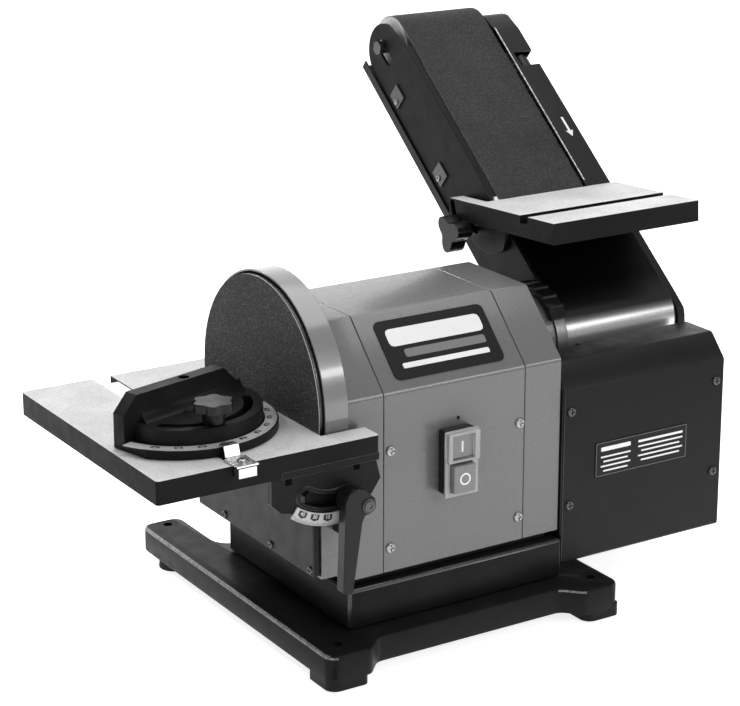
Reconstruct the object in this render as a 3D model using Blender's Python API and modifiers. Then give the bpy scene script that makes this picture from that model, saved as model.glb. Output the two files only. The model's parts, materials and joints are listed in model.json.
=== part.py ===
"""Belt and disc sander: a motor drives a sanding disc on its left and a belt arm on its right."""
import math

import bmesh
import bpy
from mathutils import Matrix, Vector

# Frame: metres, +Z up, X along the spindle from disc to belt, -Y towards the user, Z = 0 under the feet.
# Shapes are given from the spindle's axis at Y = 0, and ORIGIN moves them over the middle of the footprint.
ORIGIN = (-0.1375, -0.0824, 0.0)

GAP = 0.0003              # between pieces that touch
SHEET = 0.0015            # folded steel
SHAFT_Z = 0.2275          # spindle above the bench
SHAFT_R = 0.0095
MOTOR_R = 0.0640
DISC_R = 0.1015           # 203 mm abrasive disc
DRUM_R = 0.0297
BELT_WIDTH = 0.100
BELT_LENGTH = 0.915
BELT_THICK = 0.001
BELT_IN = DRUM_R + GAP                      # inner radius of the belt's ends
BELT_OUT = BELT_IN + BELT_THICK
BELT_LEFT = 0.310
IDLER_T = (BELT_LENGTH - 2 * math.pi * (BELT_IN + BELT_THICK / 2)) / 2   # idler from drum, along the arm
ARM_TILT = math.radians(39.4)
TABLE_SLOPE = math.radians(-3.5)            # belt table against the horizontal

HOUSING_HALF = 0.1012                       # half width of the motor housing
HOUSING_LOW = 0.0764
HOUSING_BEND = 0.2396
HOUSING_TOP = 0.2952
HOUSING_TOP_HALF = 0.0465
SEAM_LEFT = 0.0600
SEAM_RIGHT = 0.2078
HOUSING_END = 0.2472
GUARD_R = 0.1050                            # round rim about the disc

TABLE_TOP = 0.2170
TABLE_THICK = 0.0205
FLANGE_TOP = TABLE_TOP - 0.0150             # seam between the table's rim and its trunnions
TABLE_LOW = TABLE_TOP - TABLE_THICK
TILT_X = -0.0065                            # tilt axis of the disc table, at its edge by the disc
TILT_Z = TABLE_TOP
MITRE_X = -0.0935                           # middle of the mitre slot
HEAD_Y = -0.0270                            # pivot of the mitre head
HEAD_TURN = math.radians(15)
LEVER_X = 0.0050
LEVER_Z = 0.1690

GUARD_RIGHT = 0.4320                        # right edge of the sheet round the drum
HINGE_T = 0.1340                            # belt table's hinge, in the arm's own frame
HINGE_N = 0.0345
SLOT_R = 0.0370                             # lock slot about that hinge


# ---------------------------------------------------------------- collections, empties and materials

def clear_scene():
    for obj in list(bpy.data.objects):
        bpy.data.objects.remove(obj, do_unlink=True)


def collection(name):
    group = bpy.data.collections.new(name)
    bpy.context.scene.collection.children.link(group)
    return group


def material(name, shade, roughness, metallic=0.0):
    mat = bpy.data.materials.new(name)
    mat.use_nodes = True
    shader = mat.node_tree.nodes["Principled BSDF"]
    shader.inputs["Base Color"].default_value = (shade, shade, shade, 1.0)
    shader.inputs["Roughness"].default_value = roughness
    shader.inputs["Metallic"].default_value = metallic
    return mat


clear_scene()
PARTS = collection("belt_disc_sander")
TOOLS = collection("cutters")

BLACK = material("black_casting", 0.02, 0.45)
GREY = material("grey_paint", 0.22, 0.35)
DARK = material("black_sheet", 0.03, 0.40)
GLOSS = material("gloss_black", 0.01, 0.12)
PLASTIC = material("black_plastic", 0.02, 0.30)
MACHINED = material("machined_aluminium", 0.75, 0.35, 0.9)
STEEL = material("steel", 0.50, 0.30, 1.0)
GRIT = material("abrasive", 0.05, 0.95)
RUBBER = material("rubber", 0.03, 0.80)
COPPER = material("wound_core", 0.25, 0.50, 0.6)
LIGHT = material("light_plate", 0.70, 0.40, 0.3)
BUTTON = material("button_grey", 0.25, 0.35)


def empty(name, parent, location, tilt=0.0, turn=0.0):
    """A frame that pieces hang on: tilt is about X, turn is about Z."""
    frame = bpy.data.objects.new(name, None)
    PARTS.objects.link(frame)
    frame.parent = parent
    frame.location = location
    frame.rotation_euler = (tilt, 0.0, turn)
    return frame


SANDER = empty("sander", None, ORIGIN)
ARM = empty("arm_axis", SANDER, (0.0, 0.0, SHAFT_Z), tilt=ARM_TILT)
BELT_TABLE = empty("belt_table_axis", ARM, (0.0, HINGE_T, HINGE_N), tilt=TABLE_SLOPE - ARM_TILT)
HEAD = empty("mitre_head_axis", SANDER, (MITRE_X, HEAD_Y, TABLE_TOP), turn=HEAD_TURN)


# ---------------------------------------------------------------- shapes

def add(name, mesh, parent, mat, location, rotation=(0.0, 0.0, 0.0)):
    """A part when it has a material, a cutter when it has none."""
    obj = bpy.data.objects.new(name, mesh)
    group = PARTS if mat else TOOLS
    group.objects.link(obj)
    obj.parent = parent
    obj.location = location
    obj.rotation_euler = rotation
    if mat:
        mesh.materials.append(mat)
    else:
        obj.hide_render = True
        obj.display_type = "WIRE"
    return obj


def soften(obj, width, segments=2):
    bevel = obj.modifiers.new("bevel", "BEVEL")
    bevel.width = width
    bevel.segments = segments
    bevel.limit_method = "ANGLE"
    bevel.angle_limit = math.radians(40)
    return obj


def box(name, low, high, mat=None, parent=SANDER):
    low, high = Vector(low), Vector(high)
    bm = bmesh.new()
    bmesh.ops.create_cube(bm, size=1.0, matrix=Matrix.Diagonal(high - low).to_4x4())
    mesh = bpy.data.meshes.new(name)
    bm.to_mesh(mesh)
    bm.free()
    return add(name, mesh, parent, mat, (low + high) / 2)


def rod(name, axis, centre, low, high, radius, mat=None, parent=SANDER, sides=32):
    """A cylinder along axis from low to high."""
    bm = bmesh.new()
    bmesh.ops.create_cone(bm, cap_ends=True, segments=sides, radius1=radius, radius2=radius,
                          depth=high - low)
    mesh = bpy.data.meshes.new(name)
    bm.to_mesh(mesh)
    bm.free()
    if sides > 8:
        mesh.shade_smooth()
        mesh.set_sharp_from_angle(angle=math.radians(40))
    middle = (low + high) / 2
    place, rotation = along(axis, centre, middle)
    return add(name, mesh, parent, mat, place, rotation)


def along(axis, centre, distance):
    """Place and rotation that lay a shape's own Z along axis, with centre in the other two directions."""
    if axis == "X":
        return (distance, centre[0], centre[1]), (0.0, math.pi / 2, 0.0)
    if axis == "Y":
        return (centre[0], distance, centre[1]), (-math.pi / 2, 0.0, 0.0)
    return (centre[0], centre[1], distance), (0.0, 0.0, 0.0)


def turned(name, axis, centre, profile, mat=None, parent=SANDER, steps=32, ring=False):
    """A turned piece. The profile holds (radius, distance), far end first; ring closes a hollow one."""
    mesh = bpy.data.meshes.new(name)
    count = len(profile)
    edges = [(i, (i + 1) % count) for i in range(count if ring else count - 1)]
    mesh.from_pydata([(r, 0.0, h) for r, h in profile], edges, [])
    place, rotation = along(axis, centre, 0.0)
    obj = add(name, mesh, parent, mat, place, rotation)
    screw = obj.modifiers.new("turn", "SCREW")
    screw.steps = steps
    screw.render_steps = steps
    screw.use_merge_vertices = True
    screw.merge_threshold = 0.00001
    return obj


def arc(u, v, radius, start, end, count=8):
    """Points on a circle about (u, v) from start to end degrees."""
    angles = [math.radians(start + (end - start) * i / count) for i in range(count + 1)]
    return [(u + radius * math.cos(a), v + radius * math.sin(a)) for a in angles]


def circle(u, v, radius, count=24):
    return arc(u, v, radius, 0, 360 - 360 / count, count - 1)


def stadium(length, radius, count=14):
    """A loop about two pulleys of one radius, the first at the origin and the second at (length, 0)."""
    return arc(length, 0.0, radius, -90, 90, count) + arc(0.0, 0.0, radius, 90, 270, count)


def curved_slot(u, v, radius, half, start, end):
    """A slot of half width half that follows a circle about (u, v)."""
    outer = arc(u, v, radius + half, start, end, 8)
    far = arc(*arc(u, v, radius, end, end, 1)[0], half, end, end + 180, 6)[1:-1]
    inner = arc(u, v, radius - half, end, start, 8)
    near = arc(*arc(u, v, radius, start, start, 1)[0], half, start + 180, start + 360, 6)[1:-1]
    return outer + far + inner + near


def rounded(corners):
    """The outline through corners (u, v) or (u, v, radius), with an arc at each that has a radius."""
    points = []
    for i, corner in enumerate(corners):
        here = Vector(corner[:2])
        if len(corner) == 2:
            points.append(here)
            continue
        before = (Vector(corners[i - 1][:2]) - here).normalized()
        after = (Vector(corners[(i + 1) % len(corners)][:2]) - here).normalized()
        half = before.angle(after) / 2
        centre = here + (before + after).normalized() * corner[2] / math.sin(half)
        reach = corner[2] / math.tan(half)
        spoke = here + before * reach - centre
        last = here + after * reach - centre
        turn = math.copysign(math.pi - 2 * half, spoke.x * last.y - spoke.y * last.x)
        count = max(2, round(abs(turn) / math.radians(18)))
        for k in range(count + 1):
            points.append(centre + Matrix.Rotation(turn * k / count, 2) @ spoke)
    return points


def folded(path, thickness):
    """The outline of a folded sheet whose outer face follows path and whose body lies on its right."""
    path = [Vector(p) for p in path]
    inner = []
    for i, point in enumerate(path):
        normals = []
        for a, b in ((i - 1, i), (i, i + 1)):
            if a >= 0 and b < len(path):
                run = (path[b] - path[a]).normalized()
                normals.append(Vector((run.y, -run.x)))
        total = sum(normals, Vector((0.0, 0.0)))
        inner.append(point + total * thickness * len(normals) / total.dot(total))
    return path + inner[::-1]


def slab(name, axis, low, high, outline, mat=None, parent=SANDER, holes=()):
    """A flat outline with holes, filled and given its thickness along axis from low to high."""
    curve = bpy.data.curves.new(name, "CURVE")
    curve.dimensions = "2D"
    curve.fill_mode = "BOTH"
    curve.extrude = (high - low) / 2
    for loop in (rounded(outline), *holes):
        spline = curve.splines.new("POLY")
        spline.points.add(len(loop) - 1)
        for point, (u, v) in zip(spline.points, loop):
            point.co = (u, v, 0.0, 1.0)
        spline.use_cyclic_u = True
    guide = bpy.data.objects.new(name + "_outline", curve)
    TOOLS.objects.link(guide)
    bpy.context.view_layer.update()
    depsgraph = bpy.context.evaluated_depsgraph_get()
    mesh = bpy.data.meshes.new_from_object(guide.evaluated_get(depsgraph))
    bpy.data.objects.remove(guide, do_unlink=True)
    bpy.data.curves.remove(curve)
    bm = bmesh.new()
    bm.from_mesh(mesh)
    bmesh.ops.remove_doubles(bm, verts=bm.verts, dist=0.000001)
    if not holes:
        bmesh.ops.dissolve_limit(bm, angle_limit=0.01, verts=bm.verts, edges=bm.edges)
    bmesh.ops.recalc_face_normals(bm, faces=bm.faces)
    bm.to_mesh(mesh)
    bm.free()
    mesh.materials.clear()
    mesh.shade_smooth()
    mesh.set_sharp_from_angle(angle=math.radians(30))
    middle = (low + high) / 2
    if axis == "X":
        return add(name, mesh, parent, mat, (middle, 0.0, 0.0), (math.pi / 2, 0.0, math.pi / 2))
    if axis == "Y":
        return add(name, mesh, parent, mat, (0.0, middle, 0.0), (math.pi / 2, 0.0, 0.0))
    return add(name, mesh, parent, mat, (0.0, 0.0, middle))


def combine(obj, operation, tools):
    for tool in tools:
        change = obj.modifiers.new(tool.name, "BOOLEAN")
        change.operation = operation
        change.object = tool
        change.solver = "EXACT"
    return obj


def cut(obj, *tools):
    return combine(obj, "DIFFERENCE", tools)


def join(obj, *tools):
    return combine(obj, "UNION", tools)


# ---------------------------------------------------------------- base

RAIL_X = ((-0.0215, 0.0200), (0.2460, 0.2860))
RAIL_Y = (-0.1470, 0.2080)
BOLT_HOLES = ((0.0004, -0.1220), (0.2700, -0.1220), (0.0020, 0.1960), (0.2700, 0.1960))
BACK_FEET = ((-0.0030, 0.1715), (0.2680, 0.1715))
BASE_LOW, BASE_TOP = 0.0090, 0.0330


def base_casting():
    """Cast H: two rails with a deck between them, pockets below and a leg under each front corner."""
    (left, left_in), (right_in, right) = RAIL_X
    front, back = RAIL_Y
    deck_front, deck_back = -0.1300, 0.1220
    outline = [
        (left, front, 0.012), (left_in, front, 0.010), (left_in + 0.016, deck_front, 0.012),
        (right_in - 0.016, deck_front, 0.012), (right_in, front, 0.010), (right, front, 0.012),
        (right, back, 0.012), (right_in, back, 0.010), (right_in, deck_back, 0.020),
        (left_in, deck_back, 0.020), (left_in, back, 0.010), (left, back, 0.012),
    ]
    base = soften(slab("base_casting", "Z", BASE_LOW, BASE_TOP, outline, BLACK), 0.0025)
    legs = []
    for i, (low_x, high_x) in enumerate(((left + 0.0003, 0.0180), (right_in + 0.002, right - 0.0003))):
        leg = slab(f"leg_{i}", "Z", 0.0015, BASE_LOW + 0.004,
                   [(low_x, front + 0.0003, 0.010), (high_x, front + 0.0003, 0.006),
                    (high_x, front + 0.038, 0.004), (low_x, front + 0.038, 0.004)])
        legs.append(leg)
    join(base, *legs)
    wells = [rod(f"foot_well_{i}", "Z", BOLT_HOLES[i], -0.01, BASE_LOW, 0.0143, sides=24) for i in range(2)]
    drills = []
    for i, hole in enumerate(BOLT_HOLES):
        drills.append(rod(f"bolt_hole_{i}", "Z", hole, -0.01, 0.05, 0.0045, sides=16))
        drills.append(rod(f"washer_seat_{i}", "Z", hole, BASE_TOP - 0.0003, 0.05, 0.0095, sides=24))
    pockets = [
        box("left_pocket", (left + 0.006, -0.098, 0.0), (left_in - 0.006, 0.150, 0.027)),
        box("deck_pocket", (left_in + 0.006, deck_front + 0.006, 0.0),
            (right_in - 0.006, deck_back - 0.006, 0.027)),
        box("right_pocket", (right_in + 0.006, -0.098, 0.0), (right - 0.006, 0.150, 0.027)),
    ]
    cut(base, *wells, *pockets, *drills)


def rubber_feet():
    places = (*BOLT_HOLES[:2], *BACK_FEET)
    for (x, y), name in zip(places, ("front_left", "front_right", "back_left", "back_right")):
        radius = 0.0138 if y < 0 else 0.0160
        profile = [(radius - 0.001, BASE_LOW - GAP), (radius, 0.0), (0.0055, 0.0), (0.0055, BASE_LOW - GAP)]
        turned("rubber_foot_" + name, "Z", (x, y), profile, RUBBER, steps=24, ring=True)


def pedestal():
    block = box("pedestal", (0.021, -0.108, BASE_TOP + GAP), (0.2476, 0.108, 0.0702), BLACK)
    soften(block, 0.003)
    cut(block, box("pedestal_hollow", (0.029, -0.100, 0.0), (0.2396, 0.100, 0.0642)))


def motor_mount():
    """Plate on the pedestal with a saddle that carries the motor."""
    plate = box("motor_mount", (0.030, -0.095, 0.0705), (0.238, 0.095, 0.0760), DARK)
    join(plate, box("saddle", (0.105, -0.045, 0.0740), (0.135, 0.045, 0.1700)))
    cut(plate, rod("saddle_seat", "X", (0.0, SHAFT_Z), 0.09, 0.15, MOTOR_R + GAP))


# ---------------------------------------------------------------- housing

def roof_outline(inset):
    """Housing section, from its lower front edge over the top to its lower back edge."""
    bend = 0.41 * inset
    side = HOUSING_HALF - inset
    low = HOUSING_LOW - (0.01 if inset else 0.0)
    radius = 0.006
    return [(-side, low), (side, low), (side, HOUSING_BEND - bend, radius),
            (HOUSING_TOP_HALF - bend, HOUSING_TOP - inset, radius),
            (-HOUSING_TOP_HALF + bend, HOUSING_TOP - inset, radius), (-side, HOUSING_BEND - bend, radius)]


def disc_end_housing():
    """Cast end of the housing with the round rim and the chip box about the disc."""
    end = slab("disc_end_housing", "X", 0.0215, SEAM_LEFT - GAP, roof_outline(0.0), GREY)
    back = 0.0225
    rim = arc(0.0, SHAFT_Z, GUARD_R, 0, 180, 32)
    join(end, slab("rim", "X", -0.0045, back, rim + [(-GUARD_R, 0.0862), (GUARD_R, 0.0862)]))
    hole = arc(0.0, SHAFT_Z, GUARD_R - 0.0018, 0, 180, 32)
    low = [(-GUARD_R + 0.0018, 0.0885), (GUARD_R - 0.0018, 0.0885)]
    cut(end,
        slab("disc_space", "X", -0.02, back - 0.003, hole + low),
        slab("end_hollow", "X", 0.0255, 0.09, roof_outline(0.0025)),
        box("rim_step", (-0.02, -0.12, 0.1935), (0.0, 0.12, 0.40)),
        rod("end_bore", "X", (0.0, SHAFT_Z), 0.0, 0.04, 0.0160, sides=24))


def lower_disc_guard():
    """Black pan that closes the chip box in front of the disc, below the table."""
    pan = box("lower_disc_guard", (-0.0120, -0.1030, 0.0890), (-0.0048, 0.1030, 0.1930), DARK)
    soften(pan, 0.0008, 1)
    cut(pan, box("pan_space", (-0.0108, -0.1018, 0.0902), (0.01, 0.1018, 0.1918)))


def centre_cover():
    cover = slab("centre_cover", "X", SEAM_LEFT + GAP, SEAM_RIGHT - GAP, roof_outline(0.0), GREY)
    cut(cover, slab("cover_hollow", "X", 0.0, 0.3, roof_outline(SHEET)))


def right_housing():
    """Cast right end, closed by a wall that carries the arm's pivot tube."""
    end = slab("right_housing", "X", SEAM_RIGHT + GAP, HOUSING_END, roof_outline(0.0), GREY)
    cut(end, slab("right_hollow", "X", 0.18, HOUSING_END - 0.003, roof_outline(0.0025)),
        rod("right_bore", "X", (0.0, SHAFT_Z), 0.23, 0.26, 0.0260, sides=24))


def pivot_tube():
    """Hollow journal about the spindle: a wide neck, then the spigot that the arm's collar turns on."""
    near, neck, far = HOUSING_END + GAP, 0.2850, 0.2975
    turned("pivot_tube", "X", (0.0, SHAFT_Z),
           [(0.0300, far), (0.0300, neck), (0.0430, neck), (0.0430, near), (0.0240, near), (0.0240, far)],
           GREY, steps=48, ring=True)


def name_plate():
    """Blank plate on the cover's slope."""
    slope = math.atan2(HOUSING_TOP - HOUSING_BEND, HOUSING_HALF - HOUSING_TOP_HALF)
    half_long, half_high, radius = 0.057, 0.029, 0.006
    outline = [(-half_long, -half_high, radius), (half_long, -half_high, radius),
               (half_long, half_high, radius), (-half_long, half_high, radius)]
    plate = slab("name_plate", "Z", 0.0002, 0.0010, outline, DARK)
    reach = 0.0386
    plate.rotation_euler = (slope, 0.0, 0.0)
    middle = Vector((0.134, -HOUSING_HALF + reach * math.cos(slope),
                     HOUSING_BEND + reach * math.sin(slope)))
    plate.location = middle + Vector((0.0, -math.sin(slope), math.cos(slope))) * plate.location.z


# ---------------------------------------------------------------- motor and spindle

def motor():
    stack = (0.0780, 0.1620)
    turned("motor_stator", "X", (0.0, SHAFT_Z),
           [(MOTOR_R, stack[1]), (MOTOR_R, stack[0]), (0.0405, stack[0]), (0.0405, stack[1])],
           COPPER, steps=28, ring=True)
    for name, face, way in (("left_end_bell", stack[0] - GAP, -1), ("right_end_bell", stack[1] + GAP, 1)):
        profile = [(MOTOR_R, face), (MOTOR_R, face + way * 0.016), (0.0300, face + way * 0.030),
                   (0.0163, face + way * 0.030), (0.0163, face + way * 0.021), (0.0270, face + way * 0.021),
                   (MOTOR_R - 0.006, face + way * 0.012), (MOTOR_R - 0.006, face)]
        profile = profile[::way * -1]
        turned(name, "X", (0.0, SHAFT_Z), profile, MACHINED, steps=28, ring=True)
        low = face + way * 0.0215
        high = face + way * 0.0295
        seat = [(0.0160, max(low, high)), (0.0160, min(low, high)),
                (SHAFT_R + GAP, min(low, high)), (SHAFT_R + GAP, max(low, high))]
        turned(name.replace("end_bell", "bearing"), "X", (0.0, SHAFT_Z), seat, STEEL, steps=20, ring=True)
    turned("motor_rotor", "X", (0.0, SHAFT_Z),
           [(0.0395, 0.160), (0.0395, 0.080), (SHAFT_R + GAP, 0.080), (SHAFT_R + GAP, 0.160)],
           STEEL, steps=28, ring=True)


def capacitor():
    rod("capacitor", "X", (0.0660, 0.0943), 0.070, 0.130, 0.018, PLASTIC, sides=24)


def cable_gland():
    """Gland where the mains lead enters, on the back of the cover."""
    face = HOUSING_HALF + GAP
    turned("cable_gland", "Y", (0.180, 0.105),
           [(0.0070, face + 0.020), (0.0090, face + 0.012), (0.0120, face + 0.010), (0.0120, face),
            (0.0040, face), (0.0040, face + 0.020)], PLASTIC, steps=20, ring=True)


def spindle():
    rod("spindle_shaft", "X", (0.0, SHAFT_Z), 0.0060, 0.4180, SHAFT_R, STEEL, sides=28)
    turned("disc_plate", "X", (0.0, SHAFT_Z),
           [(0.0, 0.0057), (SHAFT_R + GAP, 0.0057), (SHAFT_R + GAP, 0.0180), (0.0200, 0.0180),
            (0.0200, 0.0052), (DISC_R, 0.0052), (DISC_R, -0.0030), (0.0, -0.0030)],
           MACHINED, steps=64)
    rod("abrasive_disc", "X", (0.0, SHAFT_Z), -0.0042, -0.0030 - GAP, DISC_R, GRIT, sides=64)
    turned("drive_drum", "X", (0.0, SHAFT_Z),
           [(DRUM_R, 0.4120), (DRUM_R, 0.3080), (SHAFT_R + GAP, 0.3080), (SHAFT_R + GAP, 0.4120)],
           MACHINED, steps=40, ring=True)


# ---------------------------------------------------------------- switch

def switch():
    """No-volt switch: a body, a clear frame with a raised hood about the start button, and two buttons."""
    face = -HOUSING_HALF - GAP
    body = box("switch_body", (0.1155, -0.1140, 0.1400), (0.1475, face, 0.1985), PLASTIC)
    soften(body, 0.0012, 1)
    frame = box("switch_frame", (0.1135, -0.1165, 0.1390), (0.1480, -0.1143, 0.1995), LIGHT)
    join(frame, box("hood", (0.1145, -0.1205, 0.1715), (0.1470, -0.1155, 0.1985)))
    for name, low, high, front in (("start_button", (0.1190, 0.1740), (0.1415, 0.1955), -0.1175),
                                   ("stop_button", (0.1190, 0.1435), (0.1415, 0.1690), -0.1225)):
        well = 0.0004
        space = box(name + "_well", (low[0] - well, -0.14, low[1] - well),
                    (high[0] + well, -0.1044, high[1] + well))
        cut(body, space)
        cut(frame, space)
        key = box(name, (low[0], front, low[1]), (high[0], -0.1088, high[1]), BUTTON)
        soften(key, 0.0008, 1)


# ---------------------------------------------------------------- disc table

def disc_table():
    """Table notched about the disc: a plate with a deep rim, a mitre slot and wings beside the disc."""
    inner, wing = -0.0060, 0.0370
    plate = 0.0080
    outline = [
        (-0.1710, -0.1310, 0.003), (wing, -0.1310, 0.003), (wing, -0.1073), (inner, -0.1073),
        (inner, 0.1073), (wing, 0.1073), (wing, 0.1310, 0.003), (-0.1710, 0.1310, 0.003),
    ]
    table = slab("disc_table", "Z", TABLE_LOW, TABLE_TOP, outline, MACHINED)
    under = TABLE_TOP - plate
    slot_floor = TABLE_TOP - 0.009
    bevel = [(inner - plate - 0.002, under - 0.002), (inner + 0.004, under - 0.002),
             (inner + 0.004, TABLE_TOP + 0.002)]
    cut(table,
        box("mitre_slot", (-0.1025, -0.2, slot_floor), (-0.0845, 0.2, 0.3)),
        box("outer_pocket", (-0.1630, -0.1230, 0.10), (-0.1090, 0.1230, under)),
        box("inner_pocket", (-0.0780, -0.1230, 0.10), (inner - 0.004, 0.1230, under)),
        box("disc_pocket", (-0.0300, -0.1071, 0.10), (0.02, 0.1071, under)),
        box("slot_pocket", (-0.1100, -0.1230, 0.10), (-0.0770, 0.1230, slot_floor - 0.005)),
        slab("disc_bevel", "Y", -0.1071, 0.1071, bevel),
        box("front_flange_space", (-0.0570, -0.2000, 0.10), (0.05, -0.1215, FLANGE_TOP)),
        box("back_flange_space", (-0.0570, 0.1215, 0.10), (0.05, 0.2000, FLANGE_TOP)))


def table_trunnion(name, side):
    """Quadrant plate under one side of the table: a top flange, and a lock slot with a raised lip."""
    top = TABLE_LOW - GAP
    outline = [(-0.0660, top), (-0.0660, 0.1740), (-0.0570, 0.1650)]
    outline += arc(TILT_X, TILT_Z, 0.0680, 232, 284, 8)
    outline += [(0.0314, 0.1654), (0.0400, 0.1777), (0.0354, top)]
    reach = math.hypot(LEVER_X - TILT_X, LEVER_Z - TILT_Z)
    start = math.degrees(math.atan2(LEVER_Z - TILT_Z, LEVER_X - TILT_X))
    slot = curved_slot(TILT_X, TILT_Z, reach, 0.0060, start - 46, start + 2)
    lip = curved_slot(TILT_X, TILT_Z, reach, 0.0092, start - 46, start + 2)
    near, far = sorted((side * 0.1218, side * 0.1280))
    plate = slab(name, "Y", near, far, outline, BLACK, holes=[slot])
    near, far = sorted((side * 0.1218, side * 0.1308))
    flange = box(name + "_flange", (-0.0567, near, top - 0.0010), (0.0370, far, FLANGE_TOP - GAP))
    near, far = sorted((side * 0.1270, side * 0.1294))
    join(plate, flange, slab(name + "_lip", "Y", near, far, lip, holes=[slot]))


def tilt_scale():
    outline = arc(TILT_X, TILT_Z, 0.0710, 234, 285, 16) + arc(TILT_X, TILT_Z, 0.0600, 285, 234, 16)
    slab("tilt_scale", "Y", -0.1300, -0.1283, outline, LIGHT)


def trunnion_support(name, side):
    """Bracket on the housing that the trunnion plate is clamped to."""
    outline = [(-0.0145, 0.1915), (0.0215, 0.1915), (0.0215, 0.1420), (-0.0040, 0.1420),
               (-0.0300, 0.1650), (-0.0300, 0.1720)]
    near, far = sorted((side * 0.1055, side * 0.1214))
    slab(name, "Y", near, far, outline, BLACK, holes=[circle(LEVER_X, LEVER_Z, 0.0036, 16)])


def tilt_pointer():
    outline = [(-0.1058, 0.1300), (-0.1058, 0.1400), (-0.1285, 0.1400), (-0.1285, 0.1438),
               (-0.1300, 0.1438), (-0.1300, 0.1300)]
    slab("tilt_pointer", "X", 0.0060, 0.0140, outline, DARK)


def table_lock_lever():
    """Clamp lever: hub on the lock stud, boss with its screw, and a long flat handle that hangs down."""
    x, z = LEVER_X, LEVER_Z
    hub = rod("table_lock_lever", "Y", (x, z), -0.1500, -0.1306, 0.0115, PLASTIC, sides=28)
    arm = slab("lever_arm", "Y", -0.1485, -0.1330,
               [(0.0060, 0.1800, 0.003), (-0.0072, 0.1640, 0.003), (-0.0102, 0.0905, 0.002),
                (0.0004, 0.0885, 0.002), (0.0120, 0.1560, 0.002), (0.0222, 0.1550, 0.006),
                (0.0226, 0.1715, 0.006)])
    stud = rod("lever_stud", "Y", (x, z), -0.1400, -0.1110, 0.0030, sides=16)
    join(hub, arm, stud)


# ---------------------------------------------------------------- mitre gauge

def mitre_bar():
    slot = TABLE_TOP - 0.009
    bar = box("mitre_bar", (-0.1018, -0.1400, slot + GAP), (-0.0852, 0.1130, TABLE_TOP - 0.0004), STEEL)
    join(bar, rod("pivot_pin", "Z", (MITRE_X, HEAD_Y), slot + 0.004, TABLE_TOP + 0.0160, 0.0030, sides=16))


def mitre_pointer():
    """Folded plate on the bar's front end, with its tip over the scale."""
    top = TABLE_TOP + GAP
    plate = box("mitre_pointer", (MITRE_X - 0.0100, -0.1400, top), (MITRE_X + 0.0100, -0.1180, top + 0.0016),
                STEEL)
    tab = [(-0.1200, top), (-0.1200, top + 0.0016), (-0.1150, top + 0.0016), (-0.1120, top + 0.0100),
           (-0.1040, top + 0.0100), (-0.1040, top + 0.0088), (-0.1108, top + 0.0088), (-0.1135, top)]
    join(plate, slab("pointer_tab", "X", MITRE_X - 0.0070, MITRE_X + 0.0070, tab))


def mitre_head():
    """Protractor in its own frame: a fence along X over the pivot and a half round rim towards the user."""
    foot = 0.0005
    front, back = -0.0090, 0.0040
    rim = arc(0.0, 0.0, 0.0810, 206, 358, 32) + [(0.0800, back), (-0.0725, back)]
    head = slab("mitre_head", "Z", foot, 0.0075, rim, BLACK, HEAD)
    half_round = arc(0.0, 0.0, 0.0680, 206, 356, 28) + [(0.0640, 0.0), (-0.0600, 0.0)]
    deck = slab("deck", "Z", 0.0040, 0.0210, half_round, parent=HEAD)
    fence = [(-0.0725, foot), (-0.0725, 0.0303), (-0.0580, 0.0452), (0.0400, 0.0452), (0.0790, 0.0065),
             (0.0790, foot)]
    wall = slab("fence", "Y", front, back, fence, parent=HEAD)
    fillet = slab("fillet", "X", -0.0540, 0.0590,
                  [(front + 0.001, 0.0200), (front + 0.001, 0.0310), (front, 0.0300), (-0.0110, 0.0255),
                   (-0.0140, 0.0225), (-0.0175, 0.0200)], parent=HEAD)
    join(head, deck, wall, fillet)
    slot = slab("head_slot", "Z", -0.01, 0.03, curved_slot(0.0, 0.0, 0.0560, 0.0040, -150, -28), parent=HEAD)
    cut(head, slot, rod("head_bore", "Z", (0.0, 0.0), -0.01, 0.0170, 0.0033, parent=HEAD, sides=16),
        rod("fence_bore", "Z", (0.0, -0.0025), 0.0320, 0.06, 0.0048, parent=HEAD, sides=20))


def mitre_scale():
    outline = arc(0.0, 0.0, 0.0795, 190, 350, 28) + arc(0.0, 0.0, 0.0695, 350, 190, 28)
    slab("mitre_scale", "Z", 0.0077, 0.0083, outline, LIGHT, HEAD)


def mitre_knob():
    """Lobed knob whose stud goes down through the head's slot into the bar."""
    y = HEAD_Y - 0.0560
    lobes = []
    for i in range(60):
        angle = math.radians(6 * i)
        radius = 0.0160 + 0.0016 * math.cos(6 * angle)
        lobes.append((MITRE_X + radius * math.cos(angle), y + radius * math.sin(angle)))
    knob = slab("mitre_knob", "Z", TABLE_TOP + 0.0320, TABLE_TOP + 0.0400, lobes, PLASTIC)
    join(knob, rod("knob_stem", "Z", (MITRE_X, y), TABLE_TOP + 0.0213, TABLE_TOP + 0.0330, 0.0095, sides=28),
         rod("knob_stud", "Z", (MITRE_X, y), TABLE_TOP, TABLE_TOP + 0.0300, 0.0030, sides=16))


# ---------------------------------------------------------------- belt box

def belt_box():
    """Sheet box under the belt arm, open above and behind its front ledge."""
    left, right = 0.2480, 0.4350
    top, ledge = 0.2310, -0.0475
    outline = [(-0.1050, 0.0440), (-0.1050, 0.2095), (-0.0860, top), (ledge, top), (ledge, 0.1760),
               (0.1080, 0.1760), (0.1080, 0.0440)]
    case = soften(slab("belt_box", "X", left, right, outline[::-1], DARK), 0.0015, 1)
    inner = [(-0.1030, 0.0460), (-0.1030, 0.2087), (-0.0851, top - 0.002), (-0.03, top - 0.002),
             (-0.03, 0.30), (0.1060, 0.30), (0.1060, 0.0460)]
    cut(case, slab("box_space", "X", left + 0.002, right - 0.002, inner[::-1]),
        rod("segment_space", "X", (0.0, SHAFT_Z), 0.2640, 0.3035, 0.0550))


def rating_plate():
    box("rating_plate", (0.2850, -0.1058, 0.1205), (0.3910, -0.1053, 0.1535), DARK)


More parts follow.
